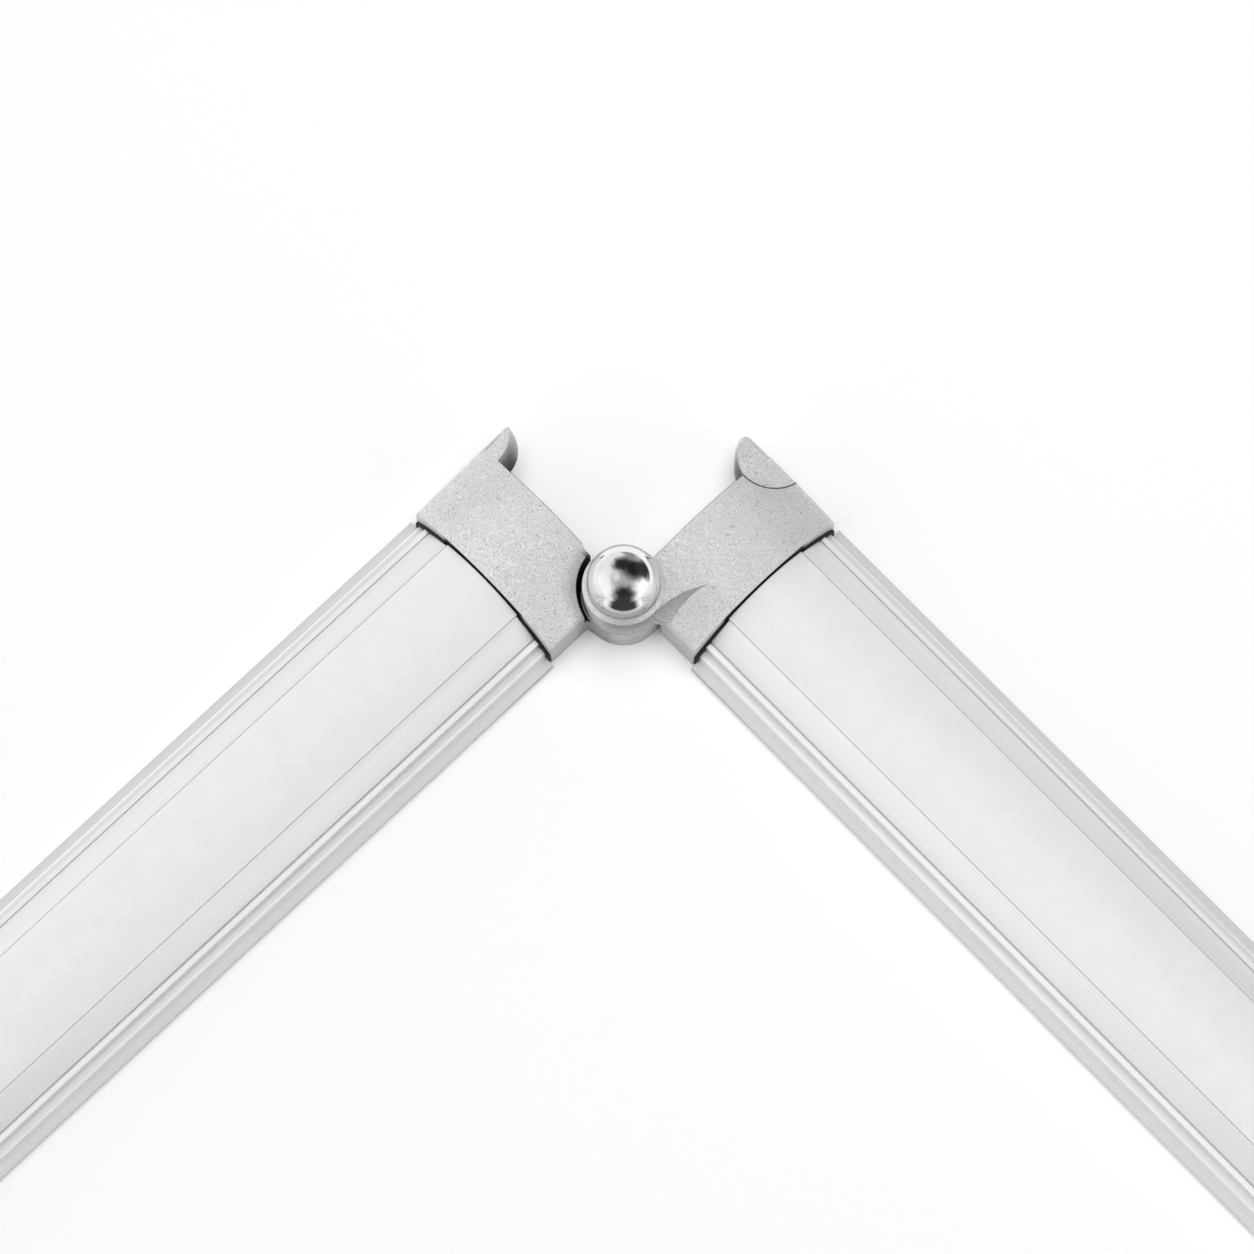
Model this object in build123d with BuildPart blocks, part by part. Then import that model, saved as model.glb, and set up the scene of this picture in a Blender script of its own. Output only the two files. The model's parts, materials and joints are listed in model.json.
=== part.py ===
"""Profile pivot joint: two arms of bowed aluminium profile, joined at a corner by die-cast hinge caps.

Millimetres, +Z up. The pivot axis is Z through the origin and the backs of both profiles lie on
Z = 0. At rest the right arm runs along +X, the left arm along -Y, and both lie on the outer side of
the pivot, so the arms can fold side by side or open until their end faces meet.
"""

import math
import os

from build123d import *

os.makedirs("parts", exist_ok=True)

# ---------------------------------------------------------------- driving dimensions
profile_length = 108.0
profile_width = 25.5  # over the flanges
arm_offset = 13.05  # from the pivot axis to the middle of a profile
end_clearance = 0.05  # from each end face to the plane through the pivot axis

# Profile section
flange_thickness = 1.2
rim_width = 22.7  # over the two rims beside the flanges
rim_height = 3.0
rim_round = 0.6
bead_width = 20.4  # over the beads where the shoulders start
bead_height = 4.4
bead_thickness = 0.65
groove_width = 0.25
groove_depth = 0.45
crown_height = 8.6
crown_radius = 13.1
channel_width = 12.5  # strip channel, and the opening that the cover fills
channel_floor = 1.4
lip_height = 0.9  # lips that hold the cover down
catch_depth = 0.45  # recess under each lip
catch_height = 1.3
port_radius = 1.1  # screw ports in the legs, open to the channel
port_slot = 1.7
port_spacing = 16.3
port_height = 2.9

# Snap-in cover
cover_skin = 1.2
cover_gap = 0.06  # beside the cover
cover_leg = 0.75
cover_overrun = 0.2  # by which the cover stands past the profile's end

# Countersunk screws through the profile's back into the cap's spigot
screw_radius = 1.25
screw_length = 4.4
screw_head_radius = 2.3
screw_head_sunk = 0.05
screw_hole_clearance = 0.15
screw_spacing = 7.2
screw_inset = 3.2  # from the profile's end
driver_flats = 1.5
driver_depth = 0.8

# Gasket
gasket_thickness = 0.4
gasket_inset = 0.25

# Hinge cap
cap_width = 24.3
cap_length = 11.35
cap_rise = 0.8  # of the arch's crown above the knuckles, at the end face
cap_bow = 3.4  # from the side walls up to the crown
cap_fall = 7.5  # degrees, from the end face towards the profile
cap_corner = 1.5
spigot_length = 6.4  # inside the profile
spigot_height = 3.4
spigot_clearance = 0.15
peg_length = 4.0  # pegs that enter the screw ports
peg_clearance = 0.05
core_wall = 1.7  # round the hollow cast into the cap's underside
core_width = 11.0
core_height = 6.8

# Knuckles and the pivot stack
knuckle_radius = 5.1
stack_height = 10.0
knuckle_gap = 0.3  # filled by the knuckle washer
socket_clearance = 0.7
knuckle_bevel = 0.5
ear_length = 7.8
ear_flare = 2.4  # of the lower ear
ear_blend = 12.0  # hollow between the upper ear's top and the arch
ear_reach = 9.0  # of the upper ear, until it is lost in the arch
cove_radius = 3.4  # hollow that runs down the upper ear's flank
cove_tilt = 21.5  # degrees
cove_inset = 0.1  # of the hollow's near side from the knuckle's
cove_depth = 4.05  # from the knuckle's top to the hollow's bottom, beside the axis
relief_length = 1.6  # small flat beside the upper socket's mouth
relief_depth = 2.6  # below the crown
bush_radius = 2.9
shank_radius = 2.0
running_clearance = 0.04
washer_bore_clearance = 0.1
knuckle_washer_radius = 4.3
head_washer_radius = 4.1
head_washer_thickness = 0.4
ball_radius = 4.5
ball_neck_radius = 3.4
ball_neck_height = 0.3
ball_sink = 0.8  # by which the ball reaches below its widest circle
nut_flats = 7.0
nut_height = 2.2
nut_recess = 0.3  # from the back plane up to the nut
nut_clearance = 0.06
spring_height = 0.5
spring_radius = 3.4
spring_skin = 0.25
seat_washer_thickness = 0.4

# Claws that lap at the outer corner when the arms are in line
claw_radius = 4.4
claw_drop = 1.5  # from the side walls' top down to the lower claw
claw_clearance = 0.3
lap_clearance = 0.12
claw_foot = 0.4
claw_root = 1.5  # by which a claw reaches into its cap
claw_bevel = 0.4
claw_tip = 0.9
claw_lean = 30.0  # degrees, by which the upper claw's rim leans outward

# ---------------------------------------------------------------- worked-out values
knuckle_split = (stack_height - knuckle_gap) / 2
cap_crown = stack_height + cap_rise
cap_wall = cap_crown - cap_bow
claw_level = cap_wall - claw_drop
cap_front = end_clearance + cap_length
profile_start = cap_front + gasket_thickness
crown_centre = crown_height - crown_radius
lip_edge = channel_width / 2
catch_wall = lip_edge + catch_depth
outer_face = arm_offset + cap_width / 2
inner_face = arm_offset - cap_width / 2
socket_radius = knuckle_radius + socket_clearance
pocket_radius = claw_radius + claw_clearance
nut_top = nut_recess + nut_height
spring_top = nut_top + spring_height
seat_height = spring_top + seat_washer_thickness
washer_bore = shank_radius + washer_bore_clearance
bush_bore = shank_radius + running_clearance
ball_centre = stack_height + head_washer_thickness + ball_neck_height + ball_sink
ports = [(port_spacing / 2, port_height), (-port_spacing / 2, port_height)]
screw_station = profile_start + screw_inset
spigot_width = 2 * (lip_edge - spigot_clearance)
spigot_top = channel_floor + spigot_height
upper_start = knuckle_split + knuckle_gap
claw_lap = claw_level + lap_clearance

# An arm is named by its direction, and by the hand that its sketches take.
ARMS = {"right": ((1, 0, 0), 1), "left": ((0, -1, 0), -1)}


def plan_plane(arm, height):
    """Level plane with x along the arm; outward is +y on the right arm and -y on the left."""
    along, _ = ARMS[arm]
    return Plane(origin=(0, 0, height), x_dir=along, z_dir=(0, 0, 1))


def section_plane(arm, station):
    """Upright plane across the arm, centred on the profile: x outward, y up."""
    along, hand = ARMS[arm]
    outward = Vector(0, 1, 0) if hand > 0 else Vector(-1, 0, 0)
    origin = Vector(*along) * station + outward * arm_offset
    return Plane(origin=origin, x_dir=outward, z_dir=Vector(*along) * hand)


def crown_at(across):
    """Height of the profile's bowed outside at a distance from its middle."""
    return crown_centre + math.sqrt(crown_radius**2 - across**2)


def underside_at(across):
    """Height of the cover's underside at a distance from its middle."""
    return crown_centre + math.sqrt((crown_radius - cover_skin) ** 2 - across**2)


def leaning_plane(arm):
    """The end face's section plane, leaning so that what is extruded from it falls along the arm."""
    along, hand = ARMS[arm]
    upright = section_plane(arm, end_clearance)
    lean = math.radians(cap_fall)
    falling = Vector(*along) * math.cos(lean) - Vector(0, 0, 1) * math.sin(lean)
    return Plane(origin=upright.origin, x_dir=upright.x_dir, z_dir=falling * hand)


def back_plane(arm):
    """Plane on the profile's back at the screws, facing down, with x along the arm."""
    along, _ = ARMS[arm]
    station = section_plane(arm, screw_station)
    return Plane(origin=station.origin, x_dir=along, z_dir=(0, 0, -1))


def write(piece, label):
    """Label a finished piece and write its STEP file."""
    piece.part.label = label
    export_step(piece.part, f"parts/{label}.step")


# ---------------------------------------------------------------- profile, cover and gasket
def profile(arm):
    """Extruded profile with its strip channel and an open screw port in each leg."""
    _, hand = ARMS[arm]
    half_flange = profile_width / 2
    half_rim = rim_width / 2
    half_bead = bead_width / 2
    bead_inner = half_bead - bead_thickness
    groove_inner = bead_inner - groove_width
    groove_bottom = crown_at(bead_inner) - groove_depth
    shoulder_mid = (groove_inner + lip_edge) / 2
    lip_under = crown_at(lip_edge) - lip_height
    rim_corner = rim_round * (1 - math.sqrt(0.5))
    with BuildPart() as piece:
        with BuildSketch(section_plane(arm, profile_start)) as section:
            with BuildLine():
                Polyline(
                    (0, channel_floor),
                    (0, 0),
                    (half_flange, 0),
                    (half_flange, flange_thickness),
                    (half_rim, flange_thickness),
                    (half_rim, rim_height - rim_round),
                )
                ThreePointArc(
                    (half_rim, rim_height - rim_round),
                    (half_rim - rim_corner, rim_height - rim_corner),
                    (half_rim - rim_round, rim_height),
                )
                Polyline(
                    (half_rim - rim_round, rim_height),
                    (half_bead, rim_height),
                    (half_bead, bead_height),
                    (bead_inner, crown_at(bead_inner)),
                    (bead_inner, groove_bottom),
                    (groove_inner, groove_bottom),
                    (groove_inner, crown_at(groove_inner)),
                )
                ThreePointArc(
                    (groove_inner, crown_at(groove_inner)),
                    (shoulder_mid, crown_at(shoulder_mid)),
                    (lip_edge, crown_at(lip_edge)),
                )
                Polyline(
                    (lip_edge, crown_at(lip_edge)),
                    (lip_edge, lip_under),
                    (catch_wall, lip_under),
                    (catch_wall, lip_under - catch_height),
                    (lip_edge, lip_under - catch_height),
                    (lip_edge, channel_floor),
                    (0, channel_floor),
                )
            make_face()
            mirror(about=Plane.YZ)
            with Locations(*ports):
                Circle(port_radius, mode=Mode.SUBTRACT)
            with Locations((0, port_height)):
                Rectangle(port_spacing, port_slot, mode=Mode.SUBTRACT)
        extrude(amount=hand * profile_length)
        with Locations(back_plane(arm)):
            with Locations((0, screw_spacing / 2), (0, -screw_spacing / 2)):
                CounterSinkHole(
                    screw_radius + screw_hole_clearance,
                    screw_head_radius + screw_head_sunk,
                    channel_floor,
                    counter_sink_angle=90,
                )
    return piece


def diffuser(arm):
    """Bowed cover with two barbed legs that catch under the profile's lips."""
    _, hand = ARMS[arm]
    edge = lip_edge - cover_gap
    lip_under = crown_at(lip_edge) - lip_height
    barb_floor = lip_under - catch_height / 2
    barb_reach = catch_wall - cover_gap
    leg_inner = edge - cover_leg
    leg_top = underside_at(leg_inner)
    with BuildPart() as piece:
        with BuildSketch(section_plane(arm, profile_start - cover_overrun)):
            with BuildLine():
                ThreePointArc((-edge, crown_at(edge)), (0, crown_height), (edge, crown_at(edge)))
                Polyline(
                    (edge, crown_at(edge)),
                    (edge, lip_under),
                    (barb_reach, lip_under),
                    (edge, barb_floor),
                    (leg_inner, barb_floor),
                    (leg_inner, leg_top),
                )
                ThreePointArc((leg_inner, leg_top), (0, underside_at(0)), (-leg_inner, leg_top))
                Polyline(
                    (-leg_inner, leg_top),
                    (-leg_inner, barb_floor),
                    (-edge, barb_floor),
                    (-barb_reach, lip_under),
                    (-edge, lip_under),
                    (-edge, crown_at(edge)),
                )
            make_face()
        extrude(amount=hand * (profile_length + cover_overrun))
    return piece


def gasket(arm):
    """Thin seal between cap and profile, cut away round the cover, the spigot and the screws."""
    _, hand = ARMS[arm]
    half = cap_width / 2 - gasket_inset
    side = rim_height - gasket_inset
    top = crown_height - gasket_inset
    with BuildPart() as piece:
        with BuildSketch(section_plane(arm, cap_front)):
            with BuildLine():
                Polyline((-half, side), (-half, 0), (half, 0), (half, side))
                ThreePointArc((half, side), (0, top), (-half, side))
            make_face()
            with Locations((0, spigot_top)):
                Rectangle(2 * catch_wall, top, align=(Align.CENTER, Align.MIN), mode=Mode.SUBTRACT)
            with Locations((0, channel_floor)):
                Rectangle(
                    spigot_width, spigot_height, align=(Align.CENTER, Align.MIN), mode=Mode.SUBTRACT
                )
            with Locations(*ports):
                Circle(port_radius, mode=Mode.SUBTRACT)
        extrude(amount=hand * gasket_thickness)
    return piece


def screw(arm, across):
    """Countersunk screw through the profile's back into the spigot, with a hexagonal socket."""
    along, _ = ARMS[arm]
    shoulder = screw_head_sunk + screw_head_radius - screw_radius
    foot = section_plane(arm, screw_station).from_local_coords(Vector(across, screw_head_sunk, 0))
    with BuildPart() as piece:
        with BuildSketch(Plane(origin=foot, x_dir=(0, 0, 1), z_dir=along)):
            with BuildLine():
                Polyline(
                    (0, 0),
                    (0, screw_head_radius),
                    (shoulder - screw_head_sunk, screw_radius),
                    (screw_length, screw_radius),
                    (screw_length, 0),
                    close=True,
                )
            make_face()
        revolve(axis=Axis(foot, (0, 0, 1)))
        with BuildSketch(Plane(origin=foot, x_dir=along, z_dir=(0, 0, 1))):
            RegularPolygon(driver_flats / 2, 6, major_radius=False)
        extrude(amount=driver_depth, mode=Mode.SUBTRACT)
    return piece


# ---------------------------------------------------------------- hinge caps
def cap_section(plane, lean):
    """Arched section of the cap, its heights cut down to suit a plane that leans over."""
    half = cap_width / 2
    wall = cap_wall * math.cos(math.radians(lean))
    crown = cap_crown * math.cos(math.radians(lean))
    with BuildSketch(plane) as section:
        with BuildLine():
            Polyline((-half, wall), (-half, -cap_length), (half, -cap_length), (half, wall))
            ThreePointArc((half, wall), (0, crown), (-half, wall))
        make_face()
        fillet(section.vertices().group_by(Axis.Y)[-1], cap_corner)
    return section.sketch


def cap_body(arm):
    """Arched block that falls towards the profile."""
    _, hand = ARMS[arm]
    with BuildPart() as piece:
        extrude(cap_section(leaning_plane(arm), cap_fall), amount=2 * cap_length, both=True)
        with BuildSketch(plan_plane(arm, 0)):
            with Locations((end_clearance, hand * arm_offset)):
                Rectangle(cap_length, 2 * cap_width, align=(Align.MIN, Align.CENTER))
        extrude(amount=2 * cap_crown, mode=Mode.INTERSECT)
    return piece.part


def claw(arm, low, high, lean):
    """Quarter disc on the outer corner: flush with the arch and leaning, or flat with a bevelled rim."""
    _, hand = ARMS[arm]
    slant = claw_radius * math.sqrt(0.5)
    with BuildPart() as piece:
        extrude(cap_section(leaning_plane(arm), cap_fall), amount=2 * claw_radius, both=True)
        with BuildSketch(plan_plane(arm, low)) as plan:
            with BuildLine():
                Polyline(
                    (0, hand * (outer_face - claw_radius)),
                    (claw_root, hand * (outer_face - claw_radius)),
                    (claw_root, hand * outer_face),
                    (-claw_radius, hand * outer_face),
                )
                ThreePointArc(
                    (-claw_radius, hand * outer_face),
                    (-slant, hand * (outer_face - slant)),
                    (0, hand * (outer_face - claw_radius)),
                )
            make_face()
            tip = Vector(-claw_radius, hand * outer_face, 0)
            fillet(plan.vertices().sort_by_distance(tip)[0], claw_tip)
        extrude(amount=high - low, mode=Mode.INTERSECT)
        if lean > 0:
            outward = section_plane(arm, 0).x_dir
            rising = outward * math.sin(math.radians(lean)) + Vector(0, 0, math.cos(math.radians(lean)))
            with BuildSketch(plan_plane(arm, low)):
                with Locations((0, hand * outer_face)):
                    Circle(claw_radius)
            extrude(amount=(high - low) / rising.Z, dir=rising, mode=Mode.INTERSECT)
        if high < cap_wall:
            bend = Vector(-slant, hand * (outer_face - slant), 0)
            bend = plan_plane(arm, high).from_local_coords(bend)
            chamfer(piece.edges().sort_by_distance(bend)[0], claw_bevel)
    return piece.part


def knuckle_block(arm, low, high):
    """Knuckle, with its top edge bevelled where that is in the open."""
    with BuildPart() as piece:
        with BuildSketch(plan_plane(arm, low)):
            Circle(knuckle_radius)
        extrude(amount=high - low)
        if high == stack_height:
            chamfer(piece.edges().group_by(Axis.Z)[-1], knuckle_bevel)
    return piece.part


def lower_ear(arm, low, high):
    """Flat web from the lower knuckle into the cap."""
    _, hand = ARMS[arm]
    with BuildPart() as piece:
        with BuildSketch(plan_plane(arm, low)):
            with BuildLine():
                Polyline(
                    (end_clearance, 0),
                    (knuckle_radius, 0),
                    (knuckle_radius + ear_flare, hand * ear_length),
                    (end_clearance, hand * ear_length),
                    close=True,
                )
            make_face()
        extrude(amount=high - low)
    return piece.part


def upper_ear(arm, low, high):
    """Web from the upper knuckle that sweeps up into the arch, with a hollow down its flank."""
    along, hand = ARMS[arm]
    lean = math.cos(math.radians(cap_fall))
    rise = (cap_crown - cap_wall) * lean
    arch_radius = ((cap_width / 2) ** 2 + rise**2) / (2 * rise)
    arch_centre = cap_crown * lean - arch_radius
    flat = high * lean
    blend_centre = flat + ear_blend
    spread = math.sqrt((arch_radius + ear_blend) ** 2 - (blend_centre - arch_centre) ** 2)
    share = arch_radius / (arch_radius + ear_blend)
    turn = math.asin(spread / (arch_radius + ear_blend)) / 2
    half_way = (
        -spread + ear_blend * math.sin(turn),
        blend_centre - ear_blend * math.cos(turn),
    )
    meeting = (-spread * share, arch_centre + (blend_centre - arch_centre) * share)
    cove_axis = knuckle_radius - cove_inset + cove_radius
    tilt = math.radians(cove_tilt)
    outward = section_plane(arm, 0).x_dir
    axis_height = high - cove_depth + cove_radius / math.cos(tilt)
    axis_foot = Vector(*along) * cove_axis + Vector(0, 0, axis_height)
    with BuildPart() as piece:
        with BuildSketch(leaning_plane(arm)):
            with BuildLine():
                Polyline((meeting[0], 0), (-arm_offset, 0), (-arm_offset, flat), (-spread, flat))
                ThreePointArc((-spread, flat), half_way, meeting)
                Line(meeting, (meeting[0], 0))
            make_face()
        extrude(amount=2 * cap_length, both=True)
        with BuildSketch(plan_plane(arm, low)):
            with BuildLine():
                Polyline(
                    (end_clearance, 0),
                    (knuckle_radius, 0),
                    (cove_axis, hand * (inner_face + cap_corner)),
                    (cove_axis, hand * ear_reach),
                    (end_clearance, hand * ear_reach),
                    close=True,
                )
            make_face()
        extrude(amount=2 * cap_crown, mode=Mode.INTERSECT)
        rising = outward * math.cos(tilt) + Vector(0, 0, math.sin(tilt))
        with BuildSketch(Plane(origin=axis_foot, x_dir=along, z_dir=rising)):
            Circle(cove_radius)
        extrude(amount=2 * cap_width, both=True, mode=Mode.SUBTRACT)
    return piece.part


def hinge_cap(arm, knuckle, ear, bore, socket, claw_shape, pocket):
    """Die-cast cap; most arguments are height spans. A nut pocket fills the knuckle below its bore."""
    _, hand = ARMS[arm]
    with BuildPart() as piece:
        add(cap_body(arm))
        with BuildSketch(section_plane(arm, cap_front)):
            with Locations((0, channel_floor)):
                Rectangle(spigot_width, spigot_height, align=(Align.CENTER, Align.MIN))
        extrude(amount=hand * (spigot_length + gasket_thickness))
        with BuildSketch(section_plane(arm, cap_front)):
            with Locations(*ports):
                Circle(port_radius - peg_clearance)
        extrude(amount=hand * (peg_length + gasket_thickness))
        with BuildSketch(plan_plane(arm, 0)):
            with Locations((end_clearance + cap_length / 2, hand * arm_offset)):
                RectangleRounded(cap_length - 2 * core_wall, core_width, core_wall / 2)
        extrude(amount=core_height, mode=Mode.SUBTRACT)
        with BuildSketch(plan_plane(arm, socket[0])):
            Circle(socket_radius)
        extrude(amount=socket[1] - socket[0], mode=Mode.SUBTRACT)
        if socket[1] > stack_height:
            with BuildSketch(plan_plane(arm, cap_crown - relief_depth)):
                with BuildLine():
                    Polyline(
                        (0, hand * knuckle_radius),
                        (0, hand * (socket_radius + relief_length)),
                        (relief_length / 2, hand * knuckle_radius),
                        close=True,
                    )
                make_face()
            extrude(amount=relief_depth, mode=Mode.SUBTRACT)
        add(knuckle_block(arm, *knuckle))
        add(ear(arm, *knuckle))
        with BuildSketch(plan_plane(arm, pocket[0])):
            with Locations((0, hand * outer_face)):
                Circle(pocket_radius)
        extrude(amount=pocket[1] - pocket[0], mode=Mode.SUBTRACT)
        add(claw(arm, *claw_shape))
        with BuildSketch(plan_plane(arm, bore[0])):
            Circle(bush_radius)
        extrude(amount=bore[1] - bore[0], mode=Mode.SUBTRACT)
        if bore[0] > knuckle[0]:
            with BuildSketch(Plane.XY.offset(knuckle[0])):
                RegularPolygon(nut_flats / 2 + nut_clearance, 6, major_radius=False)
            extrude(amount=bore[0] - knuckle[0], mode=Mode.SUBTRACT)
        with BuildSketch(plan_plane(arm, channel_floor)):
            with Locations(
                (screw_station, hand * arm_offset + screw_spacing / 2),
                (screw_station, hand * arm_offset - screw_spacing / 2),
            ):
                Circle(screw_radius)
        extrude(amount=spigot_height, mode=Mode.SUBTRACT)
    return piece


# ---------------------------------------------------------------- pivot stack
def bush(low, high):
    """Plain bush pressed into a knuckle."""
    with BuildPart() as piece:
        with BuildSketch(Plane.XY.offset(low)):
            Circle(bush_radius)
            Circle(bush_bore, mode=Mode.SUBTRACT)
        extrude(amount=high - low)
    return piece


def washer(low, radius, thickness):
    """Plain washer on the pivot axis."""
    with BuildPart() as piece:
        with BuildSketch(Plane.XY.offset(low)):
            Circle(radius)
            Circle(washer_bore, mode=Mode.SUBTRACT)
        extrude(amount=thickness)
    return piece


def disc_spring():
    """Coned disc spring: its rim bears on the nut and its bore edge on the seat washer."""
    with BuildPart() as piece:
        with BuildSketch(Plane.XZ):
            with BuildLine():
                Polyline(
                    (spring_radius, nut_top),
                    (spring_radius, nut_top + spring_skin),
                    (washer_bore, spring_top),
                    (washer_bore, spring_top - spring_skin),
                    close=True,
                )
            make_face()
        revolve(axis=Axis.Z)
    return piece


def nut():
    """Hexagon nut, kept from turning by its pocket in the lower knuckle."""
    with BuildPart() as piece:
        with BuildSketch(Plane.XY.offset(nut_recess)):
            RegularPolygon(nut_flats / 2, 6, major_radius=False)
            Circle(shank_radius, mode=Mode.SUBTRACT)
        extrude(amount=nut_height)
    return piece


def bolt():
    """Ball-headed bolt: the head is a ball cut off below its widest circle, on a short neck."""
    underside = ball_centre - ball_sink
    rim = math.sqrt(ball_radius**2 - ball_sink**2)
    neck_foot = stack_height + head_washer_thickness
    with BuildPart() as piece:
        with BuildSketch(Plane.XZ):
            with BuildLine():
                Polyline(
                    (0, ball_centre + ball_radius),
                    (0, nut_recess),
                    (shank_radius, nut_recess),
                    (shank_radius, neck_foot),
                    (ball_neck_radius, neck_foot),
                    (ball_neck_radius, underside),
                    (rim, underside),
                )
                ThreePointArc(
                    (rim, underside), (ball_radius, ball_centre), (0, ball_centre + ball_radius)
                )
            make_face()
        revolve(axis=Axis.Z)
    return piece


# ---------------------------------------------------------------- the joint
for arm in ARMS:
    write(profile(arm), f"{arm}_profile")
    write(diffuser(arm), f"{arm}_diffuser")
    write(gasket(arm), f"{arm}_gasket")
    write(screw(arm, screw_spacing / 2), f"{arm}_screw_outer")
    write(screw(arm, -screw_spacing / 2), f"{arm}_screw_inner")

right_hinge_cap = hinge_cap(
    "right",
    knuckle=(upper_start, stack_height),
    ear=upper_ear,
    bore=(upper_start, stack_height),
    socket=(0, upper_start),
    claw_shape=(claw_foot, claw_level, 0),
    pocket=(claw_level, cap_crown),
)
write(right_hinge_cap, "right_hinge_cap")

left_hinge_cap = hinge_cap(
    "left",
    knuckle=(0, knuckle_split),
    ear=lower_ear,
    bore=(seat_height, knuckle_split),
    socket=(knuckle_split, cap_crown),
    claw_shape=(claw_lap, cap_crown, claw_lean),
    pocket=(0, claw_lap),
)
write(left_hinge_cap, "left_hinge_cap")

write(bush(seat_height, knuckle_split), "lower_bush")
write(bush(upper_start, stack_height), "upper_bush")
write(washer(knuckle_split, knuckle_washer_radius, knuckle_gap), "knuckle_washer")
write(washer(stack_height, head_washer_radius, head_washer_thickness), "head_washer")
write(washer(spring_top, spring_radius, seat_washer_thickness), "seat_washer")
write(disc_spring(), "disc_spring")
write(nut(), "pivot_nut")
write(bolt(), "pivot_bolt")
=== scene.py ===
import json
import math

import bpy
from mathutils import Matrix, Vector


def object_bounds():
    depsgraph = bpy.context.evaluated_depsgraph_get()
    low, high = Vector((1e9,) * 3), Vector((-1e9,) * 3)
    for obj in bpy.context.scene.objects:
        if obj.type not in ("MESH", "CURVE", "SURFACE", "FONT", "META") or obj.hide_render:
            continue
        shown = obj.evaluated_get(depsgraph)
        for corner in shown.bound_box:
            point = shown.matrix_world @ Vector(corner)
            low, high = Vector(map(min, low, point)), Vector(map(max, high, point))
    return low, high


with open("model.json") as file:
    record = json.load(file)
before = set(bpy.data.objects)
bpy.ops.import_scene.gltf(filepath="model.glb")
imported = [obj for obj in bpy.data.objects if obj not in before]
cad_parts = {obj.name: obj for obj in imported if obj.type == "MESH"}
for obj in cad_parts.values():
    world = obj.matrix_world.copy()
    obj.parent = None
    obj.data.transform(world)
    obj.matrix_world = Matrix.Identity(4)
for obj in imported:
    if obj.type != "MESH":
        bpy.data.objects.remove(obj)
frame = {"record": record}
cad_low, cad_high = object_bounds()

# Each arm's own directions in the row frame, as (axis, sign): along it and towards its outer side.
ARMS = {"left": (("Y", -1), ("X", -1)), "right": (("X", 1), ("Y", 1))}

# Places that the materials are laid out by, in millimetres
PROFILE_MIDDLE = 13.05  # across the arm, from the pivot axis
PROFILE_REACH = 13.0  # to each side of the profile's middle, a little over half its width
CAP_OUTER_FACE = 25.2  # across the arm, from the pivot axis
CAP_END_FACE = 11.4  # along the arm, where the cap meets the profile

# ------------------------------------------------------------------ node helpers


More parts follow.
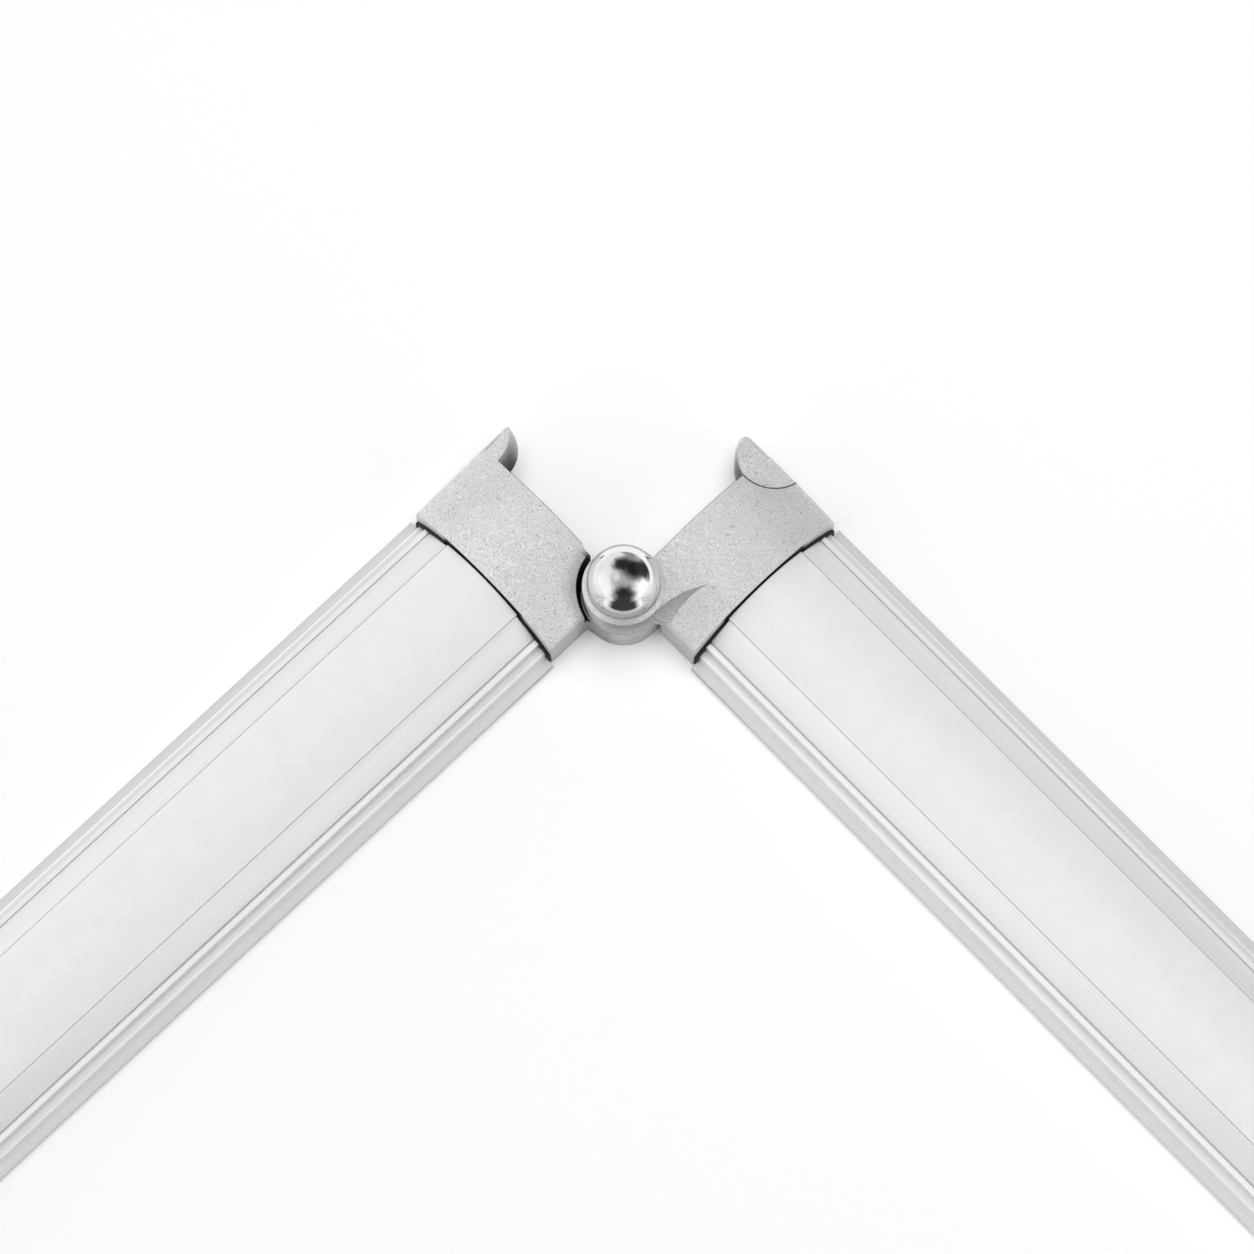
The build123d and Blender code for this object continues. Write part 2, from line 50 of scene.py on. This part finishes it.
class Graph:
    """A node tree, with short ways to add and link its nodes."""

    def __init__(self, tree):
        self.tree = tree

    def node(self, kind, **values):
        made = self.tree.nodes.new(kind)
        for key, value in values.items():
            if hasattr(made, key):
                setattr(made, key, value)
            else:
                made.inputs[key.replace("_", " ")].default_value = value
        return made

    def link(self, source, socket, target):
        self.tree.links.new(source, target.inputs[socket])

    def compute(self, operation, first, second=None):
        """One step of arithmetic on a linked value, with another linked value or a number."""
        made = self.node("ShaderNodeMath", operation=operation)
        self.link(first, 0, made)
        if hasattr(second, "links"):
            self.link(second, 1, made)
        elif second is not None:
            made.inputs[1].default_value = second
        return made.outputs["Value"]

    def vector(self, operation, first, *others):
        """One vector step: the number or the vector that it gives."""
        made = self.node("ShaderNodeVectorMath", operation=operation)
        for slot, value in enumerate((first, *others)):
            if hasattr(value, "links"):
                self.link(value, slot, made)
            else:
                made.inputs[slot].default_value = value
        return made.outputs["Value" if operation in ("LENGTH", "DOT_PRODUCT") else "Vector"]

    def ramp(self, factor, *stops):
        """Colours or greys spread over a factor: each stop is (place, value)."""
        made = self.node("ShaderNodeValToRGB")
        points = made.color_ramp.elements
        while len(points) < len(stops):
            points.new(0.5)
        for point, (place, value) in zip(points, stops):
            point.position = place
            point.color = (*value, 1) if isinstance(value, tuple) else (value, value, value, 1)
        self.link(factor, "Fac", made)
        return made.outputs["Color"]

    def blend(self, factor, first, second, mode="MIX"):
        """Mix of two colours, each written or linked."""
        made = self.node("ShaderNodeMix", data_type="RGBA", blend_type=mode)
        for slot, value in ((0, factor), (6, first), (7, second)):
            if hasattr(value, "links"):
                self.link(value, slot, made)
            elif slot:
                made.inputs[slot].default_value = (*value, 1)
            else:
                made.inputs[slot].default_value = value
        return made.outputs[2]

    def times(self, color, *others):
        """Product of colours."""
        for other in others:
            color = self.blend(1.0, color, other, "MULTIPLY")
        return color

    def darker(self, color, mask, share):
        """A colour brought down to a share of itself where a mask is 1."""
        return self.times(color, self.ramp(mask, (0.0, 1.0), (1.0, share)))

    def span(self, value, start, end):
        """Runs from 0 at start to 1 at end, whichever of the two is larger."""
        made = self.node("ShaderNodeMapRange", interpolation_type="SMOOTHSTEP")
        made.inputs["From Min"].default_value = min(start, end)
        made.inputs["From Max"].default_value = max(start, end)
        made.inputs["To Min"].default_value = 0 if start < end else 1
        made.inputs["To Max"].default_value = 1 if start < end else 0
        self.link(value, "Value", made)
        return made.outputs["Result"]

    def within(self, value, rise, fall):
        """1 between two places, each given as the pair of values over which the mask changes."""
        return self.overlap(self.span(value, *rise), self.span(value, fall[1], fall[0]))

    def overlap(self, first, *others):
        """Mask that is 1 where every one of several masks is."""
        for other in others:
            first = self.compute("MULTIPLY", first, other)
        return first

    def fold(self, value, width):
        """Triangle wave from 0 to 1 and back, so that a noise turns into winding lines."""
        return self.compute("MULTIPLY", self.compute("PINGPONG", value, width), 1 / width)

    def split(self, vector):
        made = self.node("ShaderNodeSeparateXYZ")
        self.link(vector, "Vector", made)
        return made.outputs

    def distance(self, first, second):
        """Length of the flat vector with two linked values as its sides."""
        made = self.node("ShaderNodeCombineXYZ")
        self.link(first, "X", made)
        self.link(second, "Y", made)
        return self.vector("LENGTH", made.outputs["Vector"])


class Look(Graph):
    """A procedural material."""

    def __init__(self, name, metallic, roughness):
        self.material = bpy.data.materials.new(name)
        self.material.use_nodes = True
        super().__init__(self.material.node_tree)
        self.shader = self.tree.nodes["Principled BSDF"]
        self.shader.inputs["Metallic"].default_value = metallic
        self.shader.inputs["Roughness"].default_value = roughness

    def place(self, stretch=(1, 1, 1)):
        """Object coordinates in millimetres, stretched along each axis."""
        where = self.node("ShaderNodeTexCoord")
        mapping = self.node("ShaderNodeMapping")
        mapping.inputs["Scale"].default_value = [1000 * s for s in stretch]
        self.link(where.outputs["Object"], "Vector", mapping)
        return mapping.outputs["Vector"]

    def toward(self, vector, direction):
        """A vector's part along an arm's (axis, sign)."""
        axis, sign = direction
        return self.compute("MULTIPLY", self.split(vector)[axis], sign)

    def noise(self, size, detail=2.0, rough=0.5, stretch=(1, 1, 1), distortion=0.0):
        """Noise whose grains are about size millimetres."""
        made = self.node(
            "ShaderNodeTexNoise", Scale=1 / size, Detail=detail, Roughness=rough, Distortion=distortion
        )
        self.link(self.place(stretch), "Vector", made)
        return made.outputs["Fac"]

    def drawn(self, size, detail, rough, along):
        """Noise drawn out into lines along an arm."""
        return self.noise(size, detail, rough, [0.01 if axis == along[0] else 1 for axis in "XYZ"])

    def bump(self, height, depth, before=None):
        """Bump of a depth in metres, on top of an earlier one."""
        made = self.node("ShaderNodeBump", Distance=depth)
        self.link(height, "Height", made)
        if before is not None:
            self.link(before, "Normal", made)
        return made.outputs["Normal"]

    def finish(self, color, roughness=None, normal=None):
        for socket, source in (("Base Color", color), ("Roughness", roughness), ("Normal", normal)):
            if source is not None:
                self.link(source, socket, self.shader)
        return self.material


# ------------------------------------------------------------------ materials


def cast_cap(side, mouth_radii, mouth_heights, pocketed):
    """Bead-blasted die casting: warm grey with a fine wormy grain, and painted shade that darkens its
    steep walls.

    The mouth is the socket's wall on the left cap and the knuckle's own on the right, as a range of
    radii and one of heights; both are painted dark as shade. A pocketed cap, the right one, has a thin
    painted shadow line round the pocket that the other cap's claw turns into.
    hollow and end_wall_shade_and_light use which way a face leans in world directions, so on the moving
    arm they are right only at rest.
    """
    along, outward = ARMS[side]
    look = Look(f"cast_cap_{side}", 0.30, 0.38)

    # Grain
    worms = look.fold(look.noise(0.78, 0.6, 0.4, distortion=0.8), 0.062)
    fine = look.noise(0.13, 2.0, 0.5)
    flow = look.noise(4.0, 3.0, 0.55)
    groove, flank, crest = (0.60, 0.59, 0.58), (0.945, 0.935, 0.925), (0.985, 0.977, 0.968)
    tone = look.ramp(worms, (0.05, groove), (0.36, flank), (1.0, crest))
    drift = look.ramp(flow, (0.3, 0.95), (0.7, 1.0))
    specks = look.ramp(fine, (0.32, 0.84), (0.42, 1.0))
    color = look.times(tone, drift, specks)

    # Where a point is and how its face lies
    spot = look.place()
    coordinates = look.split(spot)
    height = coordinates["Z"]
    station = look.toward(spot, along)
    across = look.toward(spot, outward)
    radius = look.distance(coordinates["X"], coordinates["Y"])
    facing = look.node("ShaderNodeNewGeometry").outputs["True Normal"]
    rising = look.split(facing)["Z"]
    leaning = look.toward(facing, along)
    upward = look.span(rising, 0.2, 0.4)

    # Painted shade: faces a little darker the steeper they stand
    color = look.times(color, look.ramp(look.span(rising, 0.30, 0.98), (0.0, 0.94), (1.0, 1.0)))

    # Painted shade in the cove under the ear
    hollow_shade = look.overlap(
        look.span(leaning, 0.18, 0.50), look.span(station, 11.2, 11.0), look.span(height, 5.0, 9.2)
    )
    color = look.darker(color, hollow_shade, 0.56)

    # The strip of end wall above the profile, painted: black as shade over the cover, pale as light over
    # the rims
    end_wall_shade_and_light = look.overlap(
        look.span(leaning, 0.6, 0.9), look.span(station, CAP_END_FACE - 0.3, CAP_END_FACE - 0.1)
    )
    over_cover = look.within(across, (5.6, 6.6), (19.5, 20.5))
    color = look.blend(end_wall_shade_and_light, color, look.ramp(over_cover, (0.0, 0.9), (1.0, 0.02)))

    # Painted shade on the claw's wall, darkest at its foot
    claw_wall_shade = look.overlap(
        look.span(across, 18.5, 20.0),
        look.span(station, 0.3, 0.0),
        look.span(rising, 0.85, 0.65),
        look.span(station, -4.8, -1.2),
        look.span(across, CAP_OUTER_FACE - 0.2, CAP_OUTER_FACE - 0.6),
    )
    shade = look.ramp(look.span(height, 5.6, 10.2), (0.0, 0.04), (0.45, 0.16), (1.0, 0.72))
    color = look.blend(claw_wall_shade, color, shade)

    # Painted shade: a little darker towards the outer side
    color = look.darker(color, look.span(across, 14.0, 22.0), 0.89)

    # Painted shade: a dark line along the end edge, and one round the pocket
    end_edge_shade = look.overlap(
        look.span(station, 0.17, 0.07), upward, look.within(across, (5.0, 5.6), (20.7, 20.9))
    )
    color = look.blend(end_edge_shade, color, (0.24, 0.235, 0.23))
    if pocketed:
        from_corner = look.distance(station, look.compute("ADD", across, -CAP_OUTER_FACE))
        pocket_shade_line = look.overlap(look.within(from_corner, (4.6, 4.72), (4.84, 4.96)), upward)
        color = look.blend(pocket_shade_line, color, (0.12, 0.118, 0.115))

    # Painted shade: the socket's wall on the left cap and the knuckle's wall on the right, on the quarter
    # where they face each other
    low_radius, high_radius = mouth_radii
    low, high = mouth_heights
    fade = (1.0, -2.0) if pocketed else (3.2, 1.8)
    quarter = look.overlap(*(look.span(coordinates[axis], *fade) for axis in "XY"))
    mouth = look.overlap(
        look.within(radius, (low_radius - 0.1, low_radius), (high_radius, high_radius + 0.1)),
        look.within(height, (low, low + 0.2), (high - 0.5, high)),
        quarter,
    )
    # Painted shade round the left socket: soft darkening of the cap near its mouth
    if not pocketed:  # soft darkening round the socket
        color = look.darker(color, look.overlap(look.span(radius, 8.0, 5.7), quarter), 0.70)

    # Painted shade in the small relief beside the left socket's mouth. This also falls on both caps' end
    # faces beside the knuckle, where it shows from behind as a dark patch, though the right cap has no
    # relief.
    relief_shade = look.overlap(
        look.within(across, (5.2, 5.5), (7.4, 7.7)),
        look.span(station, 1.0, 0.8),
        look.within(height, (8.0, 8.2), (9.5, 9.9)),
    )
    color = look.blend(relief_shade, color, (0.16, 0.16, 0.16))
    # Painted shade on the mouth: the socket's wall nearly black on the left cap, the knuckle's wall grey
    # on the right
    color = look.blend(mouth, color, (0.55, 0.545, 0.54) if pocketed else (0.012, 0.012, 0.012))

    # The bright ring on top of the knuckle, with its pits
    ring = look.overlap(look.span(height, 9.4, 9.52), look.span(radius, 5.2, 5.14))
    pits = look.ramp(fine, (0.33, (0.42, 0.41, 0.40)), (0.43, (0.84, 0.833, 0.826)))
    color = look.blend(ring, color, pits)

    gloss = look.blend(mouth, look.ramp(worms, (0.0, 0.44), (1.0, 0.32)), (0.7, 0.7, 0.7))
    gloss = look.blend(ring, gloss, (0.24, 0.24, 0.24))
    normal = look.bump(worms, 0.00002)
    normal = look.bump(fine, 0.00003, normal)
    return look.finish(color, gloss, normal)


def extruded(side):
    """Satin anodised extrusion: faint die lines along it, painted highlights on its beads and rims, and
    painted shade on its flanges and beside its grooves.
    """
    along, outward = ARMS[side]
    look = Look(f"anodised_profile_{side}", 0.18, 0.34)
    lines = look.drawn(0.35, 3.0, 0.6, along)
    broad = look.noise(6.0, 2.0, 0.5)
    across = look.toward(look.place(), outward)
    aside = look.compute("ABSOLUTE", look.compute("ADD", across, -PROFILE_MIDDLE))
    # Painted highlight and shade across the profile's one finish: bright on the bead and the rim, darker
    # beside the groove, on the rim's plateau and on the flange
    highlight_and_shade_bands = (
        (6.2, 0.93),  # shoulder, beside the cover
        (8.2, 0.88),
        (9.2, 0.85),
        (9.5, 0.88),
        (9.62, 0.98),  # bead
        (10.1, 0.98),
        (10.3, 0.80),
        (10.95, 0.84),
        (11.1, 0.98),  # rim
        (11.4, 0.98),
        (11.6, 0.76),  # flange
        (12.8, 0.72),
    )
    tone = look.ramp(
        look.compute("MULTIPLY", aside, 1 / PROFILE_REACH),
        *((place / PROFILE_REACH, value) for place, value in highlight_and_shade_bands),
    )
    # A faint cool tint, and painted shade leaving the outer side a little darker
    inner, outer = (0.99, 0.995, 1.0), (0.97, 0.975, 0.98)
    tint_and_outer_shade = look.ramp(look.span(across, 12.0, 20.0), (0.0, inner), (1.0, outer))
    streaks = look.ramp(lines, (0.3, 0.985), (0.7, 1.0))
    drift = look.ramp(broad, (0.3, 0.985), (0.7, 1.0))
    gloss = look.ramp(lines, (0.3, 0.38), (0.7, 0.30))
    return look.finish(look.times(tone, tint_and_outer_shade, streaks, drift), gloss, look.bump(lines, 0.0000015))


def opal(side):
    """Opal cover: satin plastic with faint drawn lines and a slight mottle."""
    along, _ = ARMS[side]
    look = Look(f"opal_cover_{side}", 0.0, 0.34)
    lines = look.drawn(0.6, 2.0, 0.5, along)
    mottle = look.noise(3.0, 3.0, 0.6)
    tone = look.ramp(mottle, (0.3, 0.83), (0.7, 0.86))
    gloss = look.ramp(lines, (0.3, 0.38), (0.7, 0.3))
    return look.finish(tone, gloss, look.bump(lines, 0.000003))


def polished_head():
    """Polished head with the faint hazes that buffing leaves."""
    look = Look("polished_head", 1.0, 0.05)
    haze = look.noise(1.4, 4.0, 0.6)
    color = look.ramp(haze, (0.3, (0.86, 0.86, 0.865)), (0.7, (0.93, 0.93, 0.93)))
    gloss = look.ramp(haze, (0.35, 0.035), (0.7, 0.075))
    return look.finish(color, gloss, look.bump(haze, 0.000004))


def turned(name, base):
    """Turned or stamped small part with tool marks and a little tarnish."""
    look = Look(name, 1.0, 0.3)
    marks = look.noise(0.12, 2.0, 0.5, (1, 1, 0.2))
    stain = look.noise(1.6, 4.0, 0.6)
    tone = look.ramp(stain, (0.3, tuple(c * 0.78 for c in base)), (0.7, base))
    gloss = look.ramp(marks, (0.3, 0.38), (0.7, 0.22))
    return look.finish(tone, gloss, look.bump(marks, 0.00001))


def black_seal():
    """Matt black rubber with a fine skin."""
    look = Look("black_seal", 0.0, 0.7)
    skin = look.noise(0.15, 3.0, 0.6)
    tone = look.ramp(skin, (0.3, 0.008), (0.7, 0.02))
    gloss = look.ramp(skin, (0.3, 0.8), (0.7, 0.6))
    return look.finish(tone, gloss, look.bump(skin, 0.00002))


# Materials by node, or by the record's material slot
looks = {
    "left_hinge_cap": cast_cap("left", mouth_radii=(5.3, 5.82), mouth_heights=(4.0, 10.4), pocketed=False),
    "right_hinge_cap": cast_cap("right", mouth_radii=(5.0, 5.12), mouth_heights=(5.0, 9.5), pocketed=True),
    "left_profile": extruded("left"),
    "right_profile": extruded("right"),
    "left_diffuser": opal("left"),
    "right_diffuser": opal("right"),
    "black_seal": black_seal(),
    "zinc_screw": turned("zinc_screw", (0.62, 0.63, 0.65)),
    "bronze_bush": turned("bronze_bush", (0.62, 0.43, 0.24)),
    "spring_steel": turned("spring_steel", (0.42, 0.42, 0.43)),
    "polished_head": polished_head(),
}

for part in frame["record"]["subparts"]:
    node, slot = part["node"], part["material_slot"]
    piece = bpy.data.objects[node]
    piece.data.materials.clear()
    piece.data.materials.append(looks.get(node) or looks[slot])

# ------------------------------------------------------------------ rounded edges


def soften(node, width, segments):
    """Round a casting's or a bar's sharp edges."""
    piece = bpy.data.objects[node]
    weld = piece.modifiers.new("weld", "WELD")
    weld.merge_threshold = 0.000002
    bevel = piece.modifiers.new("bevel", "BEVEL")
    bevel.width = width
    bevel.segments = segments
    bevel.limit_method = "ANGLE"
    bevel.angle_limit = math.radians(35)


for side in ARMS:
    soften(f"{side}_hinge_cap", width=0.00022, segments=3)
    soften(f"{side}_profile", width=0.0001, segments=2)

# ------------------------------------------------------------------ the photo's view
azimuth, elevation, roll = math.radians(46.35), math.radians(75.03), math.radians(0.21)
up = Vector((0, 0, 1))
right = Vector((math.cos(azimuth), math.sin(azimuth), 0))
away = Vector((-math.sin(azimuth), math.cos(azimuth), 0))
back = up * math.sin(elevation) - away * math.cos(elevation)
aim = right * 0.00042 - away * 0.00276
camera_distance = 0.950

# ------------------------------------------------------------------ floor
bpy.ops.mesh.primitive_plane_add(size=6)
floor = bpy.context.object
floor.name = "floor"
floor.location.z = cad_low.z - 0.00002

# White to the camera and pale to the light, with painted shade for reflections: they see it darker under
# and before the joint
paper = Look("floor_paper", 0.0, 0.9)
paper.shader.inputs["Specular IOR Level"].default_value = 0.0
seen = paper.node("ShaderNodeLightPath").outputs
sheet = paper.ramp(paper.noise(60, 2.0), (0.3, 0.90), (0.7, 0.91))
spot = paper.place()
under = paper.span(paper.vector("LENGTH", spot), 28, 10)
before = paper.overlap(
    paper.span(paper.vector("DOT_PRODUCT", spot, -away), 16, 26),
    paper.span(paper.vector("DOT_PRODUCT", paper.vector("NORMALIZE", spot), -away), 0.78, 0.92),
)
reflected_shade = paper.blend(under, (1.0, 1.0, 1.0), (0.40, 0.40, 0.40))
reflected_shade = paper.blend(before, reflected_shade, (0.05, 0.05, 0.05))
sheet = paper.blend(seen["Is Glossy Ray"], sheet, reflected_shade)
floor.data.materials.append(paper.finish(paper.blend(seen["Is Camera Ray"], sheet, (1.0, 1.0, 1.0))))

# ------------------------------------------------------------------ studio
world = bpy.data.worlds.new("studio")
bpy.context.scene.world = world
world.use_nodes = True
studio = Graph(world.node_tree)

# White walls, a grey ceiling and dark openings, with edges that wander as on real cloth and card
raggedness = 0.32
direction = studio.node("ShaderNodeTexCoord").outputs["Generated"]
ripple = studio.node("ShaderNodeTexNoise", Scale=3.2, Detail=2.0)
studio.link(direction, "Vector", ripple)
wander = studio.vector(
    "MULTIPLY_ADD", ripple.outputs["Color"], (raggedness,) * 3, (-raggedness / 2,) * 3
)
bent = studio.vector("NORMALIZE", studio.vector("ADD", direction, wander))

# Each patch: its direction, the angles in degrees at which it starts and ends to fade, and its grey
patches = (
    (up - away * 0.24, 16, 52, 0.52),  # ceiling
    (-right * 0.93 - away * 0.30 + up * 0.08, 16, 44, 1.2),  # bright, on the left
    (right * 0.93 - away * 0.35 + up * 0.10, 16, 40, 1.35),  # bright, on the right
    (-right * 0.36 - away * 0.05 + up * 0.92, 3, 16, 0.85),
    (right * 0.25 + away * 0.93 + up * 0.12, 6, 22, 0.35),
    (-right * 0.10 + away * 0.62 + up * 0.70, 6, 36, 0.03),
    (right * 0.48 + away * 0.42 + up * 0.70, 12, 48, 0.02),
    (right * 0.87 + away * 0.42 + up * 0.24, 9, 36, 0.04),
    (right * 0.05 - away * 0.88 + up * 0.48, 12, 44, 0.03),
    (-away, 14, 34, 0.05),
)
sky = (1.0, 1.0, 1.0)
for aimed, inner, outer, grey in patches:
    dot = studio.vector("DOT_PRODUCT", bent, aimed.normalized())
    mask = studio.span(dot, math.cos(math.radians(outer)), math.cos(math.radians(inner)))
    sky = studio.blend(mask, sky, (grey, grey, grey))

background = studio.tree.nodes["Background"]
background.inputs["Strength"].default_value = 0.88
studio.link(sky, "Color", background)
white = studio.node("ShaderNodeBackground", Color=(1, 1, 1, 1))
mix = studio.node("ShaderNodeMixShader")
studio.link(studio.node("ShaderNodeLightPath").outputs["Is Camera Ray"], "Fac", mix)
studio.link(background.outputs[0], 1, mix)
studio.link(white.outputs[0], 2, mix)
studio.link(mix.outputs[0], "Surface", studio.tree.nodes["World Output"])

# ------------------------------------------------------------------ soft box over the joint
above = away * 0.14 + right * 0.06 + up * 1.09
key = bpy.data.lights.new("key", "AREA")
key.size = 0.85
key.energy = 8.45
lamp = bpy.data.objects.new("key", key)
bpy.context.scene.collection.objects.link(lamp)
lamp.location = aim + above
lamp.rotation_euler = (-above).to_track_quat("-Z", "Y").to_euler()
lamp.visible_glossy = False

# ------------------------------------------------------------------ camera
lens = bpy.data.cameras.new("camera")
lens.lens = 220
lens.sensor_width = 36
camera = bpy.data.objects.new("camera", lens)
bpy.context.scene.collection.objects.link(camera)
camera.location = aim + back * camera_distance
camera.rotation_euler = (-back).to_track_quat("-Z", "Y").to_euler()
camera.rotation_euler.rotate_axis("Z", -roll)
bpy.context.scene.camera = camera
bpy.context.scene.view_settings.view_transform = "Standard"
